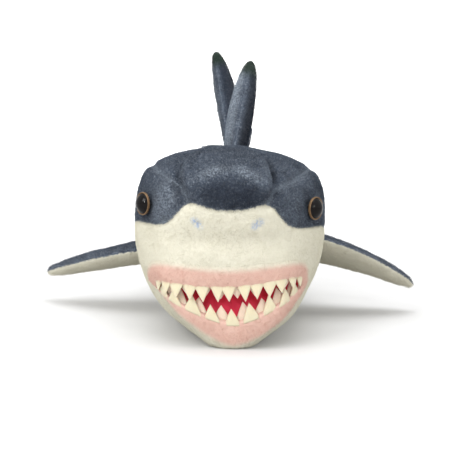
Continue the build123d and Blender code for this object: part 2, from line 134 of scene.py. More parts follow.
def beyond_skin(p):
    """Negative inside the body, positive outside."""
    bottom, top, half_width, waist, shoulder, keel = section(p[..., 1])
    waist_z = bottom + waist * (top - bottom)
    above = p[..., 2] >= waist_z
    height = np.maximum(np.where(above, top - waist_z, waist_z - bottom), 1e-3)
    power = np.where(above, shoulder, keel)
    across = np.abs(p[..., 0]) / np.maximum(half_width, 1e-3)
    value = across**power + (np.abs(p[..., 2] - waist_z) / height) ** power - 1
    return np.where(p[..., 1] <= NOSE_Y, 1.0, value)


HALVINGS = 34  # of a ray's length, to find where it leaves the body


def cast(origin, direction, reach=260.0):
    """Where rays from inside the body leave it."""
    near = np.zeros(direction.shape[:-1])
    far = np.full_like(near, reach)
    for _ in range(HALVINGS):
        middle = (near + far) / 2
        inside = beyond_skin(origin + direction * middle[..., None]) < 0
        near = np.where(inside, middle, near)
        far = np.where(inside, far, middle)
    return origin + direction * near[..., None]


def unit(v):
    return v / np.linalg.norm(v, axis=-1, keepdims=True)


def skin_normal(p):
    """The direction out of the body at points of its skin."""
    step = 0.2
    gradient = [beyond_skin(p + step * e) - beyond_skin(p - step * e) for e in np.eye(3)]
    return unit(np.stack(gradient, -1) + 1e-12)


def ring(y, angle):
    """Points of the body's section at y, by angle from +X towards +Z."""
    bottom, top, half_width, waist, shoulder, keel = section(np.asarray(y, float))
    waist_z = bottom + waist * (top - bottom)
    c, s = np.cos(angle), np.sin(angle)
    power = np.where(s >= 0, shoulder, keel)
    height = np.where(s >= 0, top - waist_z, waist_z - bottom)
    scale = (np.abs(c) ** power + np.abs(s) ** power) ** (-1 / power)
    x, z = half_width * c * scale, waist_z + height * s * scale
    return np.stack([x, np.broadcast_to(y, c.shape), z], -1)


def face_point(x, z):
    """The point of the face at x and z."""
    origin = np.stack([x, np.full_like(x, HEAD_CENTRE[1]), z], -1)
    return cast(origin, np.broadcast_to((0.0, -1.0, 0.0), origin.shape))


def chin_warp(p):
    """Shifts and tucks in the low front of the head, then rests it on the floor."""
    front = smooth(CHIN_BACK, CHIN_FRONT, p[..., 1])
    shift = CHIN_SHIFT * smooth(CHIN_TOP, 0, p[..., 2]) * front
    tuck = CHIN_TUCK * smooth(TUCK_TOP, 0, p[..., 2]) * front * p[..., 0]
    return rest_on_floor(p + (shift - tuck)[..., None] * np.array((1.0, 0, 0)))


def rest_on_floor(p):
    """Presses the underside flat where it lies on the floor."""
    pressed = FLOOR_PRESS * np.log1p(np.exp(np.clip(p[..., 2], -60, 60) / FLOOR_PRESS))
    low = np.where(p[..., 2] < FLOOR_REACH, pressed, p[..., 2])
    return np.concatenate([p[..., :2], low[..., None]], -1)


def even_points(outline, count):
    """Points at even distances along a dense outline."""
    step = np.linalg.norm(np.diff(outline, axis=0), axis=1)
    along = np.concatenate([[0], np.cumsum(step)])
    wanted = np.linspace(0, along[-1], count)
    return np.stack([np.interp(wanted, along, outline[:, k]) for k in range(3)], -1)


def distance_to(p, line):
    """Distance from each point to a polyline."""
    best = np.full(p.shape[:-1], 1e9)
    for a, b in zip(line[:-1], line[1:]):
        ab = b - a
        t = np.clip(((p - a) @ ab) / (ab @ ab), 0, 1)
        best = np.minimum(best, np.linalg.norm(p - a - t[..., None] * ab, axis=-1))
    return best


def lumps(p, size, seed):
    """Soft noise between about -1 and 1, with lumps of a size in millimetres."""
    shift = Vector((seed * 17.3, seed * 5.1, seed * 9.7))
    flat = p.reshape(-1, 3) / size
    return np.array([noise.noise(Vector(q) + shift) for q in flat]).reshape(p.shape[:-1])


# ---- meshes -------------------------------------------------------------------------------------
def grid_faces(rows, columns, wrap=True):
    """Four-sided faces over rows of points, whose last column may join the first."""
    row = np.arange(rows - 1)[:, None]
    column = np.arange(columns if wrap else columns - 1)[None, :]
    after = (column + 1) % columns
    corners = [row * columns + column, row * columns + after,
               (row + 1) * columns + after, (row + 1) * columns + column]
    return np.stack(np.broadcast_arrays(*corners), -1).reshape(-1, 4).tolist()


def make_piece(name, points, faces, material, inside):
    """A smooth mesh object whose faces look away from the point inside."""
    mesh = bpy.data.meshes.new(name)
    flat = points.reshape(-1, 3)
    mesh.from_pydata((flat * MM).tolist(), [], faces)
    mesh.update()
    normals = np.array([f.normal for f in mesh.polygons])
    centres = np.array([f.center for f in mesh.polygons])
    if np.sum(normals * (centres - np.asarray(inside) * MM)) < 0:
        mesh.flip_normals()
    mesh.polygons.foreach_set("use_smooth", [True] * len(mesh.polygons))
    mesh.materials.append(material)
    piece = bpy.data.objects.new(name, mesh)
    bpy.context.scene.collection.objects.link(piece)
    return piece


FAR = 50.0  # a stored distance that is out of reach of every seam
# Numbers that the plush material reads at each point, two to a UV map, so that pile can read them too.
# glint holds painted highlights above zero and painted shade below zero.
TONES = {"edges": ("shade", "seam"), "painted_light_and_marks": ("glint", "smudge"), "flesh": ("gum", "tip")}


def paint(piece, **values):
    """Stores numbers per point, for the material to read."""
    corners = np.zeros(len(piece.data.loops), np.int32)
    piece.data.loops.foreach_get("vertex_index", corners)
    for layer, names in TONES.items():
        pair = [np.ravel(values.get(name, np.zeros(len(piece.data.vertices)))) for name in names]
        uv = np.stack(pair, -1).astype(np.float32)[corners]
        piece.data.uv_layers.new(name=layer).data.foreach_set("uv", uv.ravel())


# ---- materials ----------------------------------------------------------------------------------
class Shader:
    """A material's node tree, built by short calls. Each call returns an output socket."""

    def __init__(self, name):
        self.material = bpy.data.materials.new(name)
        self.material.use_nodes = True
        self.tree = self.material.node_tree
        self.surface = self.tree.nodes["Principled BSDF"]
        self.position = self.node("ShaderNodeTexCoord").outputs["Object"]

    def node(self, kind, inputs=None, **settings):
        made = self.tree.nodes.new(kind)
        for key, value in settings.items():
            setattr(made, key, value)
        for key, value in (inputs or {}).items():
            self.plug(made.inputs[key], value)
        return made

    def plug(self, socket, value):
        if isinstance(value, bpy.types.NodeSocket):
            self.tree.links.new(value, socket)
        else:
            socket.default_value = value

    def noise(self, scale, detail=2.0, roughness=0.5, distortion=0.0, vector=None):
        made = self.node("ShaderNodeTexNoise", {
            "Vector": vector or self.position, "Scale": scale, "Detail": detail,
            "Roughness": roughness, "Distortion": distortion,
        })
        return made.outputs["Fac"]

    def math(self, operation, a, b=0.0):
        return self.node("ShaderNodeMath", {0: a, 1: b}, operation=operation).outputs[0]

    def step(self, low, high, value):
        made = self.node("ShaderNodeMapRange", {"Value": value, "From Min": low, "From Max": high},
                         interpolation_type="SMOOTHSTEP")
        return made.outputs["Result"]

    def mix(self, factor, a, b, blend="MIX"):
        made = self.node("ShaderNodeMix", data_type="RGBA", blend_type=blend)
        for socket, value in zip((made.inputs[0], made.inputs[6], made.inputs[7]), (factor, a, b)):
            self.plug(socket, value)
        return made.outputs[2]

    def value(self, name):
        layer = next(key for key, names in TONES.items() if name in names)
        stored = self.node("ShaderNodeUVMap", uv_map=layer).outputs[0]
        pair = self.node("ShaderNodeSeparateXYZ", {0: stored})
        return pair.outputs[TONES[layer].index(name)]

    def bump(self, height, distance, strength=1.0, normal=None):
        inputs = {"Height": height, "Distance": distance, "Strength": strength}
        if normal is not None:
            inputs["Normal"] = normal
        return self.node("ShaderNodeBump", inputs).outputs["Normal"]

    def finish(self, **inputs):
        for key, value in inputs.items():
            self.plug(self.surface.inputs[key.replace("_", " ")], value)
        return self.material


BLUE_DEEP = (0.016, 0.021, 0.034, 1)
BLUE = (0.074, 0.092, 0.124, 1)
BLUE_LIGHT = (0.42, 0.48, 0.55, 1)
TIP_DARK = (0.020, 0.034, 0.026, 1)
CREAM = (0.76, 0.735, 0.615, 1)
CREAM_SHADE = (0.71, 0.68, 0.56, 1)
PINK = (0.70, 0.44, 0.365, 1)
PINK_LIGHT = (0.79, 0.57, 0.48, 1)
NOSTRIL_BLUE = (0.40, 0.49, 0.66, 1)


def pile_blue(sh):
    """Slate blue pile: dark roots, light tips, and patches where the nap is brushed the other way."""
    nap = sh.noise(34, 3, 0.6, 1.4)
    strand = sh.noise(620, 3, 0.75)
    clump = sh.noise(260, 2, 0.6, 0.6)
    colour = sh.mix(sh.step(0.12, 0.66, nap), BLUE_DEEP, BLUE)
    colour = sh.mix(sh.math("MULTIPLY", sh.step(0.50, 0.72, strand), 0.52), colour, BLUE_LIGHT)
    return sh.mix(sh.math("MULTIPLY", sh.step(0.55, 0.85, clump), 0.25), colour, BLUE_LIGHT)


def pile_cream(sh):
    """Cream pile with faint painted shade in the hollows between its tufts."""
    tuft = sh.noise(620, 3, 0.6, 0.4)
    cloud = sh.noise(24, 2, 0.5)
    colour = sh.mix(sh.step(0.25, 0.60, tuft), CREAM_SHADE, CREAM)
    return sh.mix(sh.math("MULTIPLY", cloud, 0.3), colour, CREAM_SHADE)


def pile_bump(sh, depth=0.0010):
    fine = sh.noise(900, 4, 0.65)
    coarse = sh.noise(210, 2, 0.5, 0.8)
    first = sh.bump(coarse, depth * 1.2, 0.7)
    return sh.bump(fine, depth * 0.7, 0.8, first)


def plush_material(name, gum=False):
    """Pile cloth, blue where the stored value shade is above zero and cream where it is below."""
    sh = Shader(name)
    fray = sh.math("SUBTRACT", sh.noise(520, 2, 0.6), 0.5)
    blue = pile_blue(sh)
    # Painted highlights where the stored painted light is above zero, as pale speckled tips; painted
    # shade where it is below zero, as deep blue.
    stored = sh.value("glint")
    tips = sh.step(0.38, 0.66, sh.noise(640, 3, 0.7, 0.2))
    glint = sh.math("MULTIPLY", sh.math("MAXIMUM", stored, 0.0), tips)
    blue = sh.mix(sh.math("MULTIPLY", glint, 0.8), blue, BLUE_LIGHT)
    blue = sh.mix(sh.math("MAXIMUM", sh.math("MULTIPLY", stored, -1.0), 0.0), blue, BLUE_DEEP)
    seam = sh.step(2.6, 0.2, sh.math("ADD", sh.value("seam"), sh.math("MULTIPLY", fray, 3.0)))
    blue = sh.mix(sh.math("MULTIPLY", seam, 0.16), blue, BLUE_LIGHT)
    blue = sh.mix(sh.value("tip"), blue, TIP_DARK)
    edge = sh.math("ADD", sh.value("shade"), sh.math("MULTIPLY", fray, 3.2))
    colour = sh.mix(sh.step(-0.7, 0.7, edge), pile_cream(sh), blue)
    smudge = sh.math("MULTIPLY", sh.value("smudge"), sh.step(0.30, 0.66, sh.noise(620, 2, 0.6)))
    colour = sh.mix(smudge, colour, NOSTRIL_BLUE)
    if gum:
        flesh = sh.mix(sh.noise(260, 3, 0.6), PINK, PINK_LIGHT)
        border = sh.math("ADD", sh.value("gum"), sh.math("MULTIPLY", fray, 2.4))
        colour = sh.mix(sh.step(-0.4, 6.5, border), colour, flesh)
    return sh.finish(
        Base_Color=colour, Roughness=0.88, Normal=pile_bump(sh), Sheen_Weight=0.16,
        Sheen_Roughness=0.42, Specular_IOR_Level=0.12,
    )


def lining_material():
    """Flat crimson knit: fine ribs of stitches."""
    sh = Shader("mouth_knit")
    ribs = sh.node("ShaderNodeTexWave", {"Vector": sh.position, "Scale": 420.0, "Distortion": 1.5,
                                         "Detail": 1.0}, bands_direction="X").outputs["Fac"]
    cloud = sh.noise(70, 2, 0.5)
    colour = sh.mix(cloud, (0.88, 0.030, 0.085, 1), (0.98, 0.05, 0.14, 1))
    colour = sh.mix(sh.math("MULTIPLY", ribs, 0.25), colour, (0.98, 0.08, 0.16, 1))
    return sh.finish(Base_Color=colour, Roughness=0.8, Normal=sh.bump(ribs, 0.0003, 0.6),
                     Sheen_Weight=0.4)


def felt_material(name, light, stain_colour):
    """Felt: matted fibres, with faint darker blotches at random."""
    sh = Shader(name)
    fibre = sh.noise(1300, 4, 0.7, 1.0)
    stain = sh.noise(120, 2, 0.5)
    colour = sh.mix(fibre, (0.72, 0.62, 0.42, 1), light)
    colour = sh.mix(sh.math("MULTIPLY", stain, 0.45), colour, stain_colour)
    return sh.finish(Base_Color=colour, Roughness=0.9, Normal=sh.bump(fibre, 0.0005, 0.7),
                     Sheen_Weight=0.3, Subsurface_Weight=0.1)


def eye_material():
    """Polished black plastic with a brown cast and faint scuffs."""
    sh = Shader("eye_glass")
    cloud = sh.noise(160, 2, 0.5)
    colour = sh.mix(cloud, (0.001, 0.001, 0.001, 1), (0.004, 0.002, 0.002, 1))
    scuff = sh.step(0.55, 0.8, sh.noise(700, 3, 0.7))
    rough = sh.math("ADD", sh.math("MULTIPLY", scuff, 0.05), 0.03)
    return sh.finish(Base_Color=colour, Roughness=rough, Specular_IOR_Level=0.10, Coat_Weight=0.2,
                     Coat_Roughness=0.02)


def rim_material():
    """Pearly gold paint over moulded plastic."""
    sh = Shader("eye_rim")
    fleck = sh.noise(900, 2, 0.6)
    colour = sh.mix(fleck, (0.10, 0.055, 0.025, 1), (0.34, 0.21, 0.11, 1))
    return sh.finish(Base_Color=colour, Metallic=0.55, Roughness=0.32,
                     Normal=sh.bump(fleck, 0.0001, 0.4))


def washer_material():
    """Natural white moulded plastic."""
    sh = Shader("washer_plastic")
    grain = sh.noise(1200, 2, 0.5)
    colour = sh.mix(grain, (0.74, 0.74, 0.70, 1), (0.86, 0.86, 0.83, 1))
    return sh.finish(Base_Color=colour, Roughness=0.45, Normal=sh.bump(grain, 0.0001, 0.3))


# ---- pile ---------------------------------------------------------------------------------------
NAP_TIME = 4.0  # Blender's hair length is its speed out of the cloth times this
PILE_CHILDREN = 12  # strands that follow each guide strand
PILE_RADIUS = 0.11  # of a strand at its root, in millimetres
PILE_TIP = 0.35  # radius at the tip, as a share of the root's
COMB, COMB_DOWN = 0.45, 0.4  # how far the strands lean back, and the share of that which is downwards
LENGTH_SPREAD = 0.30
KINK, KINK_SIZE, TIP_KINK = 0.25, 0.6, 0.35  # bends of a strand, as shares of its length
LONG_PILE, FIN_PILE, SHORT_PILE = 2.2, 1.8, 1.2  # millimetres
HEAD_DENSITY, GUM_DENSITY, FIN_DENSITY, BODY_DENSITY = 3.5, 3.0, 2.5, 2.0  # strands a square millimetre
CREAM_SHARE = 0.45  # length of the cream cloth's pile, as a share of the blue cloth's


def grow_pile(piece, per_square_mm, length, seed, nap=None):
    """Short pile on a piece: fine strands, combed towards the tail and a little down.

    nap is the length at each point of the mesh, as a share of the full length.
    """
    area = sum(face.area for face in piece.data.polygons) / MM**2
    piece.modifiers.new("pile", "PARTICLE_SYSTEM")
    system = piece.particle_systems[0]
    system.seed = seed
    pile = system.settings
    pile.type = "HAIR"
    pile.use_advanced_hair = True
    pile.count = int(area * per_square_mm / PILE_CHILDREN)
    pile.hair_step = 2
    pile.render_step = 2
    pile.emit_from = "FACE"
    pile.distribution = "RAND"
    pile.normal_factor = length * MM / NAP_TIME
    back = COMB * pile.normal_factor
    pile.object_align_factor = (0, back, -COMB_DOWN * back)
    pile.factor_random = LENGTH_SPREAD * pile.normal_factor
    if nap is not None:
        group = piece.vertex_groups.new(name="nap")
        shares = np.round(nap, 1)
        for share in np.unique(shares):
            group.add(np.flatnonzero(shares == share).tolist(), float(share), "REPLACE")
        system.vertex_group_length = "nap"
    pile.child_type = "INTERPOLATED"
    pile.rendered_child_count = PILE_CHILDREN
    pile.child_percent = 1
    pile.roughness_1 = KINK * length * MM
    pile.roughness_1_size = KINK_SIZE * MM
    pile.roughness_endpoint = TIP_KINK * length * MM
    pile.root_radius = 1.0
    pile.tip_radius = PILE_TIP
    pile.radius_scale = PILE_RADIUS * MM
    pile.material = 1


PLUSH_SKIN = plush_material("plush_skin")
GUM_CLOTH = plush_material("gum_cloth", gum=True)
LINING_CLOTH = lining_material()
FELT = felt_material("tooth_felt", (0.84, 0.77, 0.56, 1), (0.70, 0.56, 0.36, 1))
# Inner rows: pinker felt, painted lighter than the outer felt to offset the shade inside the mouth.
PINK_FELT_WITH_PAINTED_LIGHT = felt_material("inner_tooth_felt", (0.98, 0.84, 0.70, 1), (0.88, 0.52, 0.42, 1))


# ---- lines on the head --------------------------------------------------------------------------
# Height of the line between blue and cream: across the face, and along the flanks.
SHADE_X = np.array((0, 12, 20, 28, 33, 39, 45, 51, 60, 80.0))
SHADE_FACE_Z = np.array((108.5, 109.6, 111.8, 113.6, 112.3, 105.8, 99.3, 95.8, 94.4, 94.4))
SHADE_Y = np.array((-300, -205, -150, -60, 20, 120, 300.0))
SHADE_SIDE_Z = np.array((96, 95, 91, 83, 79, 84, 105.0))
FACE_END_Y, FLANK_Y = -190.0, -150.0  # between these the line of the face turns into that of the flank

# Seams and ridges of the shark's left side. The right side mirrors them.
BROW_SEAM = np.array(((29.5, -231.5, 112.5), (33, -228, 120), (37, -222, 125.5), (45, -209, 129.5),
                      (54, -191, 134), (62, -165, 138.5), (66, -128, 140.0)))
RIDGE = np.array(((31, -227, 126), (24, -230, 129), (14, -232, 135), (8, -230, 135.5), (0, -229, 132.0)))
NOSTRIL_MARKS = (np.array(((-25.0, -229.5, 100.5), (-22, -231.0, 96.0))),
                 np.array(((20.5, -231.5, 97), (24, -230, 101))))
NOSTRIL_MARK_WIDTH = 3.0

# The stuffed snout: a hump along the top of the head, with a valley at each side.
HUMP_X = -4.0  # of its middle, from where it leaves the nose
HUMP_Y = np.array((-240.0, -222, -190, -155, -128))
HUMP_HALF = np.array((33.0, 36, 27, 14, 8))
HUMP_RISE = np.array((0.0, 4.5, 8.5, 5.0, 0.0))
VALLEY_SHARE, VALLEY_OFF, VALLEY_WIDTH = 1.15, 4.0, 5.0  # depth as a share of the rise
HUMP_FOOT_Z, HUMP_FULL_Z = 112.0, 128.0

# Bumps and hollows in the cloth of the head: how high or deep, and how wide.
BROW_SEAM_DEPTH, BROW_SEAM_WIDTH = 2.2, 3.4
RIDGE_RISE, RIDGE_WIDTH = 1.0, 3.4
EYE_HOLLOW, EYE_HOLLOW_WIDTH = 3.2, 11.0
NOSTRIL_DENT, NOSTRIL_DENT_WIDTH = 1.2, 3.4
SHADE_SEAM_DEPTH, SHADE_SEAM_WIDTH = 0.8, 2.0
BULB_RISE, BULB_CENTRE, BULB_RADII = 1.8, (0, -228, 125), (30, 26, 15)
BROW_RISE, BROW_CORNER, BROW_RADII = 2.4, (68, -172, 136), (12, 30, 12)
MUZZLE_DIP, MUZZLE_DIP_Z, MUZZLE_DIP_WIDTH = 3.0, 84.0, 9.0
NECK_GROOVE, NECK_GROOVE_WIDTH, NECK_FADE = 0.8, 2.5, 8.0
BIG_LUMP, BIG_LUMP_SIZE, SMALL_LUMP, SMALL_LUMP_SIZE = 0.9, 38, 0.35, 12

# Painted light on the blue pile: a painted highlight on the brow, and painted shade on the front of the
# snout's bulb.
BROW_HIGHLIGHT, BROW_HIGHLIGHT_RADII = (52, -212, 112), (13, 26, 20)
BULB_SHADE, BULB_SHADE_RADII = (2, -236, 122), (28, 18, 13)


def pile_depth(p):
    """How far the cloth lies under the tips of its pile, which is longer on the blue cloth."""
    return 0.8 + smooth(-3, 1, shade(p))


def mirrored(p):
    """Points folded onto the shark's left side."""
    folded = p.copy()
    folded[..., 0] = np.abs(folded[..., 0])
    return folded


def shade(p):
    """Height above the line between the blue back and the cream belly."""
    face = curve_through(np.clip(np.abs(p[..., 0]), 0, SHADE_X[-1] - 1), SHADE_X, SHADE_FACE_Z)
    side = curve_through(np.clip(p[..., 1], SHADE_Y[0] + 1, SHADE_Y[-1] - 1), SHADE_Y, SHADE_SIDE_Z)
    share = smooth(FACE_END_Y, FLANK_Y, p[..., 1])
    return p[..., 2] - face * (1 - share) - side * share


def hump_place(p):
    """Distance from the hump's middle line, and the hump's half width and rise there."""
    y = np.clip(p[..., 1], HUMP_Y[0], HUMP_Y[-1])
    across = np.abs(p[..., 0] - HUMP_X * smooth(-238, -215, p[..., 1]))
    return across, curve_through(y, HUMP_Y, HUMP_HALF), curve_through(y, HUMP_Y, HUMP_RISE)


def hump(p):
    """The relief of the stuffed snout and the valleys beside it."""
    across, half, rise = hump_place(p)
    body = rise * smooth(half + 3, half - 9, across)
    valley = VALLEY_SHARE * rise * dome(across - half - VALLEY_OFF, VALLEY_WIDTH)
    return (body - valley) * smooth(HUMP_FOOT_Z, HUMP_FULL_Z, p[..., 2])


def head_relief(p):
    """How far the head's skin stands out of, or dips into, its plain form."""
    q = mirrored(p)
    out = hump(p) + RIDGE_RISE * dome(distance_to(q, RIDGE), RIDGE_WIDTH)
    out -= BROW_SEAM_DEPTH * dome(distance_to(q, BROW_SEAM), BROW_SEAM_WIDTH)
    out += BULB_RISE * dome(in_ball(p, BULB_CENTRE, BULB_RADII), 1, 4)
    out += BROW_RISE * dome(in_ball(q, BROW_CORNER, BROW_RADII), 1)
    out -= EYE_HOLLOW * dome(np.linalg.norm(q - EYE, axis=-1), EYE_HOLLOW_WIDTH)
    out -= NOSTRIL_DENT * dome(np.linalg.norm(q - NOSTRIL, axis=-1), NOSTRIL_DENT_WIDTH)
    out -= SHADE_SEAM_DEPTH * dome(shade(p), SHADE_SEAM_WIDTH)
    dip = dome(p[..., 2] - MUZZLE_DIP_Z, MUZZLE_DIP_WIDTH) * smooth(54, 26, np.abs(p[..., 0]))
    out -= MUZZLE_DIP * dip * smooth(-180, -205, p[..., 1])
    out += BIG_LUMP * lumps(p, BIG_LUMP_SIZE, 1) + SMALL_LUMP * lumps(p, SMALL_LUMP_SIZE, 2)
    return out - pile_depth(p)


def head_glint(p):
    """Painted light: painted highlights on the snout's ridge, the brow seams, the hump's rim and the
    brows, up to 1, and painted shade in the valleys and on the snout's bulb, down to -1.
    """
    q = mirrored(p)
    across, half, _ = hump_place(p)
    # Painted highlights along the ridge, the brow seams and the hump's rim, and on the brows, brighter
    # on the brow towards the key light.
    ridge = dome(distance_to(q, RIDGE), 6.0) * smooth(36, 10, q[:, 0])
    seam = 0.75 * dome(distance_to(q, BROW_SEAM), 2.8)
    rim = 0.6 * dome(across - half + 4, 2.4) * smooth(125, 135, p[:, 2]) * smooth(-150, -170, p[:, 1])
    brow = np.where(p[:, 0] < 0, 0.75, 0.2) * dome(in_ball(q, BROW_HIGHLIGHT, BROW_HIGHLIGHT_RADII), 1, 4)
    light = np.maximum.reduce([ridge, seam, rim, brow])
    # Painted shade in the valleys beside the hump and on the front of the snout's bulb.
    valley = 0.7 * dome(across - half - 5, 4.0) * smooth(HUMP_FOOT_Z, HUMP_FULL_Z, p[:, 2])
    valley = valley * smooth(-140, -165, p[:, 1])
    bulb_shade = 0.75 * dome(in_ball(p, BULB_SHADE, BULB_SHADE_RADII), 1, 4)
    return light - np.maximum(bulb_shade, valley) * (1 - light)


def seam_distance(p):
    """Distance to the nearest seam of the head, the one at the neck included."""
    seams = np.minimum(distance_to(mirrored(p), BROW_SEAM), np.abs(shade(p)))
    return np.minimum(seams, NECK_Y - p[..., 1])


# ---- mouth outlines -----------------------------------------------------------------------------
OUTLINE_POINTS = 600
MOUTH_SQUARENESS, GUM_SQUARENESS = 5.0, 3.6
CORNER_ANGLE = math.radians(22)  # of the mouth's corners on the neck ring, below level


def outline(left, right, upper_z, lower_z, squareness):
    """Dense upper and lower halves, each from left corner to right, of a shape on the face."""
    halves = []
    for edge_z in (upper_z, lower_z):
        c = np.cos(np.linspace(0, math.pi, OUTLINE_POINTS))
        x = (left[0] + right[0]) / 2 + (left[0] - right[0]) / 2 * c
        corner_z = right[1] + (left[1] - right[1]) * (x - right[0]) / (left[0] - right[0])
        fill = (1 - np.abs(c) ** squareness) ** (1 / squareness)
        z = corner_z + (edge_z(x) - corner_z) * fill
        halves.append(face_point(x, z))
    return halves


def upper_lip_z(x):
    """Height of the upper lip. The next three give the lower lip and the outer edges of the gums."""
    return 49.2 + 0.0019 * x**2 + 0.06 * x


def lower_lip_z(x):
    return 21 + 22 * (np.abs(x - 3) / 55) ** 1.35 + 0.04 * x


def gum_top_z(x):
    return 65.2 + 0.0022 * x**2 + 0.03 * x


def gum_bottom_z(x):
    return 0.5 + 39 * (np.abs(x - 3) / 58) ** 1.75


def around(halves, count):
    """Even columns round a closed outline: the upper half, then the lower one back."""
    upper = even_points(halves[0], count + 1)[:-1]
    lower = even_points(halves[1][::-1], count + 1)[:-1]
    return np.concatenate([upper, lower])


def columns_at(y):
    """The section at y, in as many columns as the lips have and starting level with their corner."""
    upper = ring(y, np.linspace(-CORNER_ANGLE, math.pi + CORNER_ANGLE, DENSE))
    lower = ring(y, np.linspace(-CORNER_ANGLE, CORNER_ANGLE - math.pi, DENSE))
    return around((upper, lower), LIP_COLUMNS)


lip_halves = outline(MOUTH_LEFT, MOUTH_RIGHT, upper_lip_z, lower_lip_z, MOUTH_SQUARENESS)
gum_halves = outline(GUM_LEFT, GUM_RIGHT, gum_top_z, gum_bottom_z, GUM_SQUARENESS)
lip = around(lip_halves, LIP_COLUMNS)
gum_edge = around(gum_halves, LIP_COLUMNS)
neck = columns_at(NECK_Y)


def sweep(start, end, shares):
    """Rows of skin points between two rings of the head, turning about its centre."""
    a, b = unit(start - HEAD_CENTRE), unit(end - HEAD_CENTRE)
    angle = np.arccos(np.clip(np.sum(a * b, -1), -1, 1))[None, :, None]
    t = np.asarray(shares)[:, None, None]
    direction = (np.sin((1 - t) * angle) * a + np.sin(t * angle) * b) / np.sin(angle)
    return cast(HEAD_CENTRE, unit(direction))


# ---- head, gums and mouth -----------------------------------------------------------------------
GUM_RISE, GUM_EDGE_RISE, LIP_ROLL = 1.0, 0.1, 3.0
LIP_INNER = np.array((0, -165, 46))  # the lips roll in towards this point
FULL_FLESH = 9.0  # stored distance from the gum's edge on the rolled lip
UNDERLAP = 0.02  # how far the head skin runs on under the gum, as a share of its rows


def with_jaw(piece):
    """Bakes the piece's transform into its mesh."""
    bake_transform(piece)


def neck_groove(p):
    """Depth of the groove along the seam at the neck."""
    return NECK_GROOVE * dome(p[..., 1] - NECK_Y, NECK_GROOVE_WIDTH)


head_points = sweep(gum_edge, neck, np.linspace(-UNDERLAP, 1, HEAD_ROWS))
near_neck = smooth(NECK_Y - NECK_FADE, NECK_Y, head_points[..., 1])
relief = head_relief(head_points) * (1 - near_neck) - pile_depth(head_points) * near_neck
relief = relief - neck_groove(head_points)
head_skin = make_piece(
    "head_skin", chin_warp(head_points + skin_normal(head_points) * relief[..., None]),
    grid_faces(HEAD_ROWS, 2 * LIP_COLUMNS), PLUSH_SKIN, HEAD_CENTRE,
)
flat = head_points.reshape(-1, 3)
paint(
    head_skin, shade=shade(flat), seam=seam_distance(flat), glint=head_glint(flat),
    smudge=sum(dome(distance_to(flat, mark), NOSTRIL_MARK_WIDTH, 4) for mark in NOSTRIL_MARKS),
)
with_jaw(head_skin)
nap = CREAM_SHARE + (1 - CREAM_SHARE) * smooth(-3, 1, shade(flat))
grow_pile(head_skin, HEAD_DENSITY, LONG_PILE, 1, nap)
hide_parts("snout_panel", "left_brow_panel", "right_brow_panel", "muzzle_panel", "jaw_panel",
            "jaw_stuffing")

gum_shares = np.linspace(0, 1.03, GUM_ROWS)
gum_points = sweep(lip, gum_edge, gum_shares)
rise = GUM_RISE * (1 - np.abs(2 * gum_shares / gum_shares[-1] - 1) ** 3) + GUM_EDGE_RISE
gum_face = gum_points + skin_normal(gum_points) * (head_relief(gum_points) + rise[:, None])[..., None]
inward = unit(LIP_INNER - gum_points[0])
roll = np.stack([gum_face[0] + inward * LIP_ROLL * k for k in (1.0, 0.5)])
gum_skin = chin_warp(np.concatenate([roll, gum_face]))
gum_distance = np.linalg.norm(gum_points - gum_edge[None], axis=-1)
gum_distance = np.concatenate([np.full((len(roll), 2 * LIP_COLUMNS), FULL_FLESH), gum_distance])
for node, first in (("upper_gum", 0), ("lower_gum", LIP_COLUMNS)):
    columns = (first + np.arange(LIP_COLUMNS + 1)) % (2 * LIP_COLUMNS)
    points = gum_skin[:, columns]
    faces = grid_faces(points.shape[0], LIP_COLUMNS + 1, wrap=False)
    gum = make_piece(f"{node}_cloth", points, faces, GUM_CLOTH, HEAD_CENTRE)
    paint(gum, shade=np.full(points.shape[:2], -FAR), seam=np.full(points.shape[:2], FAR),
          gum=gum_distance[:, columns])
    with_jaw(gum)
    grow_pile(gum, GUM_DENSITY, SHORT_PILE, 2)
    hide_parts(node)

# The mouth's lining runs from the lips back to a fold along the jaw axis.
FOLD_Y, FOLD_Z, FOLD_SHARE = -184.0, 46.0, 0.9
LINING_ROWS, LINING_BULGE = 24, 3.0
upper_x = np.linspace(1, -1, LIP_COLUMNS + 1)[:-1]
fold_x = np.concatenate([upper_x, -upper_x]) * (MOUTH_LEFT[0] - MOUTH_RIGHT[0]) / 2 * FOLD_SHARE
fold = np.stack([fold_x, np.full_like(fold_x, FOLD_Y), np.full_like(fold_x, FOLD_Z)], -1)
start = gum_skin[0]
t = np.linspace(0, 1, LINING_ROWS)[:, None, None]
side = np.where(np.arange(2 * LIP_COLUMNS) < LIP_COLUMNS, LINING_BULGE, -LINING_BULGE)[None, :, None]
lining_points = start * (1 - t) + fold * t + side * np.sin(t * math.pi) * np.array((0, 0, 1.0))
in_front = (0, -400, 40)  # the lining is seen from inside the mouth
lining_faces = grid_faces(LINING_ROWS, 2 * LIP_COLUMNS)
lining = make_piece("mouth_lining", lining_points, lining_faces, LINING_CLOTH, in_front)
with_jaw(lining)
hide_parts("palate_lining", "mouth_floor_lining")


# ---- teeth --------------------------------------------------------------------------------------
TOOTH_RINGS, TOOTH_SIDES = 12, 20
TOOTH_THICKNESS, TOOTH_ROOT = 2.8, 2.0  # and how much of a tooth is hidden in the gum
LIP_POINTS, TANGENT_STEP = 400, 6
ROW_START, ROW_SHARE = 0.03, 0.94  # where a row starts along its lip, and how much of the lip it takes
CORNER_HEIGHT = 0.66  # height of a tooth at the corner of the mouth, as a share of the middle one's


